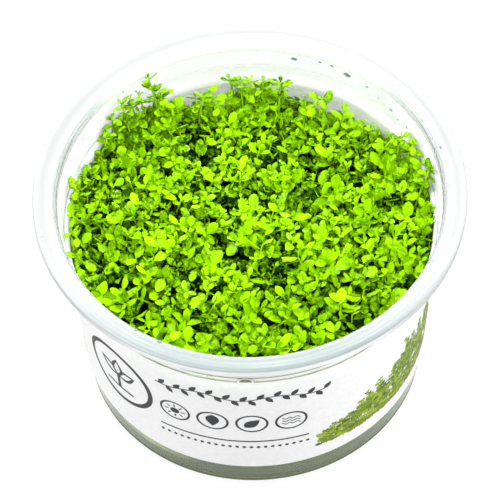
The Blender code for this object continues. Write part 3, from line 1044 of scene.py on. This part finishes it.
def stemGreen():
    finish = Finish("stemGreen", Specular_IOR_Level=0.05)
    tone = finish.add("ShaderNodeAttribute", {"attribute_name": "leafTone"}).outputs["Fac"]
    streak = finish.noise(500.0, 2.0)
    age = finish.plus(tone, finish.times(finish.minus(streak, 0.5), 0.3))
    finish.feed(Base_Color=finish.ramp(age, leafLook["stemGreens"]),
                Roughness=finish.ranged(streak, 0.3, 0.7, 0.35, 0.5))
    finish.bump(streak, 0.2, 0.05 * mm)
    return finish.mat


foliageMats = [leafGreen(), stemGreen()]


def finishFoliage(foliage, name, node):
    points = np.concatenate(foliage.points) * mm
    uvs = np.concatenate(foliage.uvs)
    tones = np.concatenate(foliage.tones)
    piece = addPiece(name, points.tolist(), foliage.faces, foliageMats, foliage.slots, sharpAngle=75)
    mesh = piece.data
    corner = np.zeros(len(mesh.loops), dtype=np.int32)
    mesh.loops.foreach_get("vertex_index", corner)
    layer = mesh.uv_layers.new(name="leafUV")
    layer.data.foreach_set("uv", uvs[corner].ravel())
    shade = mesh.attributes.new("leafTone", "FLOAT", "POINT")
    shade.data.foreach_set("value", tones.astype(np.float32))
    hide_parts(node)
    return sum(len(face) - 2 for face in foliage.faces)


# One shoot: a curved stem with crossed leaf pairs that get smaller towards the tip

shootLook = {
    "drops": (0.0, 0.8, 1.9, 3.4, 5.4, 7.8),  # mm from the tip to each leaf pair
    "lengths": (1.8, 2.9, 3.6, 3.9, 3.8, 3.5),
    "pitches": (54, 32, 16, 6, -3, -12),  # degrees above flat
    "stem": (0.22, 0.38),  # radius at the tip and at the foot
    "fineFrom": 2,  # pairs from here
    "fineTo": 4,  # to here get the fine blade
}


# Shoots near the label have wide rosettes of full leaves
frontShoot = {
    "drops": (0.0, 0.7, 1.9, 3.8, 6.2, 8.8),
    "lengths": (2.6, 3.3, 3.7, 3.8, 3.8, 3.5),
    "pitches": (40, 22, 10, 2, -4, -10),
    "stem": (0.24, 0.40),
    "fineFrom": 0,
    "fineTo": 6,
}


# Long shoots have open tips with full leaves
openShoot = {
    **frontShoot,
    "drops": (0.0, 0.6, 2.8, 5.6, 8.8, 12.0),
    "lengths": (1.5, 3.1, 3.8, 4.0, 3.8, 3.5),
    "pitches": (52, 18, 10, 2, -4, -10),
    "fineFrom": 1,
}


def stemPoint(curve, t):
    a, b, c, d = curve
    u = 1 - t
    return a * u ** 3 + b * 3 * u * u * t + c * 3 * u * t * t + d * t ** 3


growth = {
    "bend": 0.07,  # sideways bow of a stem, as a share of its length
    "upright": 0.4,  # share of it that rises from the foot,
    "tipLean": 0.35,  # and that follows the lean of the tip
    "pairSwing": 0.35,  # radians that a leaf pair turns from its cross,
    "leafSwing": 0.15,  # and a leaf from its pair
    "lengthSpread": (0.8, 1.2),
    "widthSpread": (0.85, 1.15),
    "shade": 0.14,  # painted shade: darker for each mm under the carpet's surface,
    "age": 0.02,  # and for each pair down
    "toneSpread": (-0.15, 0.14),
    "lowerGap": (3.6, 5.2),  # mm between the leaf pairs low on a stem
    "lowerLength": 3.1,
    "lowerPitch": -14,
}


# Grows one shoot: leaf pairs from the tip down, and the stem that carries them
def growShoot(foliage, rng, foot, tip, lean, size, tone, pairs, look=shootLook, fine=True, swing=None,
              lower=0):
    foot, tip, lean = (np.array(v, float) for v in (foot, tip, lean))
    lean /= np.linalg.norm(lean)
    tall = np.linalg.norm(tip - foot)
    bend = np.array((rng.uniform(-1, 1), rng.uniform(-1, 1), 0)) * tall * growth["bend"]
    rise = np.array((0, 0, growth["upright"])) * tall + bend
    curve = (foot, foot + rise, tip - lean * growth["tipLean"] * tall, tip)
    walk = np.array([stemPoint(curve, 1 - k / 24) for k in range(25)])
    run = np.append(0.0, np.cumsum(np.linalg.norm(np.diff(walk, axis=0), axis=1)))

    def down(drop):
        return np.array([np.interp(drop, run, track) for track in walk.T])

    turn = rng.uniform(0, math.pi) if swing is None else swing
    drops = [drop * size for drop in look["drops"][:pairs]]
    for _ in range(lower):
        drops.append(drops[-1] + rng.uniform(*growth["lowerGap"]))
    lengths = look["lengths"][:pairs] + (growth["lowerLength"],) * lower
    pitches = look["pitches"][:pairs] + (growth["lowerPitch"],) * lower
    for rank, (drop, length, pitch) in enumerate(zip(drops, lengths, pitches)):
        if drop > run[-1] - 1.0:
            break
        at = down(drop)
        axis = down(max(drop - 0.8, 0)) - at if drop > 0 else lean
        axis = axis / np.linalg.norm(axis)
        ref = np.cross(axis, (0.0, 1.0, 0.05))
        ref /= np.linalg.norm(ref)
        other = np.cross(axis, ref)
        heading = turn + rank * math.pi / 2 + rng.uniform(-growth["pairSwing"], growth["pairSwing"])
        # painted shade: how far the pair is under the carpet's surface
        deep = max(0.0, carpetHeight(at[0], at[1], 0.35) - at[2] - 0.6)
        full = fine and look["fineFrom"] <= rank < min(pairs, look["fineTo"])
        for flip in (0, math.pi):
            angle = heading + flip + rng.uniform(-growth["leafSwing"], growth["leafSwing"])
            out = ref * math.cos(angle) + other * math.sin(angle)
            lift = math.radians(pitch + rng.uniform(-leafLook["spread"], leafLook["spread"]))
            along = out * math.cos(lift) + axis * math.sin(lift)
            up = axis * math.cos(lift) - out * math.sin(lift)
            up = up + np.cross(along, up) * rng.uniform(-leafLook["roll"], leafLook["roll"])
            span = min(leafLook["longest"], length * size * rng.uniform(*growth["lengthSpread"]))
            wide = span * leafLook["aspect"] * rng.uniform(*growth["widthSpread"])
            leafTone = tone - growth["shade"] * deep - growth["age"] * rank
            leafTone = max(-0.1, leafTone + rng.uniform(*growth["toneSpread"]))
            addLeaf(foliage, fineLeaf if full else plainLeaf, at, along, up, span, wide,
                    rng.uniform(*leafLook["cup"]), rng.uniform(*leafLook["arch"]), leafTone)
    thin, thick = look["stem"]
    shares = [k / 9 for k in range(10)]
    addStem(foliage, [stemPoint(curve, t) for t in shares], [between(thick, thin, t) for t in shares], tone)


# The carpet: shoots over the whole opening, each from its clump's middle

carpet = {
    "radius": 43.2,  # mm
    "top": 55.0,
    "edge": 50.4,  # mean height at the wall
    "edgeSwing": 3.2,  # higher at the sides than at the back and the front
    "edgeTurn": 165,  # degrees, where it is highest
    "lump": 0.8,
    "tufts": [  # x, y, radius and rise of the mounds at the wall
        (-29, 30, 7.5, 5.6), (-20, 36, 5, 2.6), (38, 16, 6, 3.0), (4, 38, 7, 3.0), (26, 29, 5, 1.6),
        (-42, -10, 8, -3.0),
    ],
    "rings": [  # extra shoots against the wall: from and to in degrees, radius, spacing
        (140, 176, 43.3, 1.5), (-16, 44, 43.3, 1.8), (48, 136, 42.6, 2.0),
    ],
    "frontSize": 0.6,  # growth of the leaves at the front wall
    "frontFrom": 4,  # mm, where it starts
    "frontShare": 1.2,  # and how many of the shoots there have the wide rosette
    "crowd": 0.62,  # extra shoots in a mound, for each mm of radius and of rise
    "hollow": 9.0,  # how far the open spots between the clumps dip
    "foot": 13.6,  # height where the stems start
    "footReach": 39.5,  # and how far out
    "spacing": 2.45,  # least distance between shoot tips in the upper layer
    "underSpacing": 3.5,  # and in the shaded layer below it
    "underDrop": 3.6,
    "tipDrop": 1.2,  # how far the tips spread below the surface
    "sizes": (0.55, 1.6),  # smallest and largest shoot
    "sizeSpread": 0.34,
    "outward": 0.35,  # lean outwards at the wall
    "leanSpread": 0.45,
    "footShare": (0.72, 0.92),  # where a foot is on the way from its clump's middle to its tip
    "tones": (0.80, 1.04),
    "seed": 21,
}


# Stray shoots that crowd round the long ones
strays = {
    "footShare": 0.86,
    "outward": 0.012,
    "leanSpread": 0.2,
    "sizes": (0.85, 1.05),
    "tones": (0.6, 0.8),
    "tips": [  # mm
        (-28.6, 35.0, 58.5), (-30.6, 32.4, 59.6), (-33.1, 30.0, 57.2), (-35.0, 27.0, 55.0),
        (-26.5, 36.4, 58.5), (-20.2, 37.6, 57.0), (-22.8, 36.8, 60.0), (-21.0, 34.8, 58.5),
        (-17.6, 36.3, 54.2), (-12.5, 37.6, 54.8), (-8.6, 37.4, 57.2), (-10.4, 36.8, 56.0),
        (-1.0, 40.0, 57.6), (1.1, 39.4, 58.6), (4.3, 39.4, 57.9), (8.4, 38.4, 56.2),
        (14.5, 35.8, 55.6), (17.6, 33.2, 57.6), (24.1, 29.6, 57.2), (28.5, 27.3, 54.8),
        (-43.0, -3.1, 56.0), (-42.4, 9.7, 56.2), (-42.2, -10.0, 55.4), (-42.0, -14.6, 54.6),
        (-43.0, 2.0, 55.4), (35.4, 21.2, 56.6), (37.8, 21.0, 57.4), (40.1, 18.0, 58.2),
        (42.0, 12.8, 57.2), (43.4, 9.4, 58.4),
    ],
}


def carpetHeight(x, y, mounds=1.0):
    out = math.hypot(x, y) / carpet["radius"]
    swing = math.cos(2 * (math.atan2(y, x) - math.radians(carpet["edgeTurn"])))
    fall = carpet["top"] - carpet["edge"] - carpet["edgeSwing"] * swing
    lumps = carpet["lump"] * math.sin(x / 5.1 + 0.7) * math.cos(y / 6.3 - 0.4)
    rise = 0
    for u, v, wide, high in carpet["tufts"]:
        rise += high * math.exp(-((x - u) ** 2 + (y - v) ** 2) / wide ** 2)
    return carpet["top"] - fall * out ** 2.4 + lumps + rise * mounds


def hollowDepth(x, y):
    return carpet["hollow"] * max(0.0, noise.noise(Vector((x, y, 3.0)) / 6.5) - 0.12)


# Leaves are larger towards the front, where the label shades them
def frontGrowth(y):
    share = (carpet["frontFrom"] - y) / (carpet["radius"] + carpet["frontFrom"])
    return carpet["frontSize"] * max(0.0, share) ** 1.3


# Random points in a circle, none nearer to another than the spacing
def scatter(rng, radius, spacing, tries=14000):
    cell = spacing / math.sqrt(2)
    taken = {}
    places = []
    for _ in range(tries):
        r = radius * math.sqrt(rng.random())
        turn = rng.uniform(0, math.tau)
        x, y = r * math.cos(turn), r * math.sin(turn)
        i, j = int(x // cell), int(y // cell)
        near = [taken[(a, b)] for a in range(i - 2, i + 3) for b in range(j - 2, j + 3) if (a, b) in taken]
        if all((x - u) ** 2 + (y - v) ** 2 >= spacing ** 2 for u, v in near):
            taken[(i, j)] = (x, y)
            places.append((x, y))
    return places


# Extra shoots against the wall and in the mounds: place and how far the tip is below the surface
def crowdPlaces(rng):
    places = []
    for start, end, radius, spacing in carpet["rings"]:
        step = math.degrees(spacing / radius)
        turn = start
        while turn < end:
            r = radius - rng.uniform(0, 1.2)
            c, s = turned(turn)
            places.append((r * c, r * s, rng.uniform(0, 2.6)))
            turn += step
    for u, v, wide, high in carpet["tufts"]:
        for _ in range(int(carpet["crowd"] * wide * max(high, 0))):
            turn, r = rng.uniform(0, math.tau), wide * math.sqrt(rng.random())
            x, y = u + r * math.cos(turn), v + r * math.sin(turn)
            if math.hypot(x, y) < carpet["radius"]:
                places.append((x, y, rng.uniform(0.3, 0.8 * high)))
    return places


# Names a piece after its node
def pieceName(start, node):
    return start + "".join(part.capitalize() for part in node.split("_")[1:])


def growCarpet():
    rng = random.Random(carpet["seed"])
    radius = carpet["radius"]
    smallest, largest = carpet["sizes"]
    nodes = sorted(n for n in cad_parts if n.startswith("plantlet_"))
    middles = {node: (sum(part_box(node), Vector()) / 2 / mm).to_2d() for node in nodes}
    clumps = {node: Foliage() for node in nodes}

    def nearest(x, y):
        return min(nodes, key=lambda n: (middles[n] - Vector((x, y))).length)

    upper = [(x, y, 0.0) for x, y in scatter(rng, radius + 0.6, carpet["spacing"])]
    under = [(x, y, carpet["underDrop"]) for x, y in scatter(rng, radius - 0.5, carpet["underSpacing"])]
    extra = crowdPlaces(rng)
    for places, pairs, lower, fine in ((upper, 6, 0, True), (under, 5, 3, False), (extra, 5, 1, True)):
        for x, y, drop in places:
            node = nearest(x, y)
            middle = middles[node]
            r = math.hypot(x, y)
            z = carpetHeight(x, y) - drop - hollowDepth(x, y) - abs(rng.gauss(0, carpet["tipDrop"]))
            growing = math.exp(rng.gauss(0, carpet["sizeSpread"]))
            size = (1.0 + frontGrowth(y)) * min(largest, max(smallest, growing))
            outward = carpet["outward"] * (r / radius) ** 3 / max(r, 1)
            lean = [v * outward + rng.gauss(0, carpet["leanSpread"]) for v in (x, y)] + [1.0]
            foot = middle + (Vector((x, y)) - middle) * rng.uniform(*carpet["footShare"])
            foot = foot * min(1.0, carpet["footReach"] / max(foot.length, 1))
            tone = rng.uniform(*carpet["tones"])
            look = frontShoot if rng.random() < frontGrowth(y) * carpet["frontShare"] else shootLook
            growShoot(clumps[node], rng, (*foot, carpet["foot"]), (x, y, z), lean, size, tone, pairs,
                      look, fine, lower=lower)
    for x, y, z in strays["tips"]:
        foot = (x * strays["footShare"], y * strays["footShare"], carpet["foot"])
        lean = [v * strays["outward"] + rng.gauss(0, strays["leanSpread"]) for v in (x, y)] + [1.0]
        growShoot(clumps[nearest(x, y)], rng, foot, (x, y, z), lean, rng.uniform(*strays["sizes"]),
                  rng.uniform(*strays["tones"]), 6, openShoot, lower=2)
    total = sum(finishFoliage(foliage, pieceName("clump", node), node) for node, foliage in clumps.items())
    print("carpet grown:", len(upper), "+", len(under), "+", len(extra), "shoots,", total, "triangles")


growCarpet()


# The long shoots that stand over the carpet: foot, lean of the tip, tip height, turn of the leaf pairs

longShoots = {
    "shoot_back_left": ((-21.4, 33.0), (-2.4, 5.2), 63.4, 12),
    "shoot_left": ((-28.3, 27.3), (-1.0, 0.9), 58.4, -8),
    "shoot_back": ((-2.6, 39.4), (-1.4, 1.0), 59.0, 4),
    "shoot_back_middle": ((3.6, 38.2), (0.2, 0.9), 57.6, -14),
    "shoot_back_right": ((9.6, 38.0), (-1.0, 1.2), 58.6, 9),
    "shoot_right_back": ((19.6, 33.8), (-0.4, 0.6), 57.6, -10),
    "shoot_right": ((35.6, 17.4), (1.2, 0.7), 59.0, 6),
    "shoot_right_front": ((39.5, 3.2), (4.3, 6.2), 60.6, -7),
}


longLook = {
    "tone": 0.55,
    "tipRoom": 1.2,  # mm that the top leaves reach over the stem
    "leanBy": 6,  # mm up for the tip's lean
    "seed": 8,
}


def growLongShoots():
    rng = random.Random(longLook["seed"])
    for node, ((x, y), (leanX, leanY), tipHeight, swing) in longShoots.items():
        foliage = Foliage()
        tip = (x + leanX, y + leanY, tipHeight - longLook["tipRoom"])
        lean = (leanX / longLook["leanBy"], leanY / longLook["leanBy"], 1.0)
        turn = math.atan2(y, x) + math.radians(swing)
        growShoot(foliage, rng, (x, y, carpet["foot"]), tip, lean, 1.0, longLook["tone"], 6, openShoot,
                  swing=turn, lower=4)
        finishFoliage(foliage, pieceName("longShoot", node), node)
    print("long shoots grown")


growLongShoots()
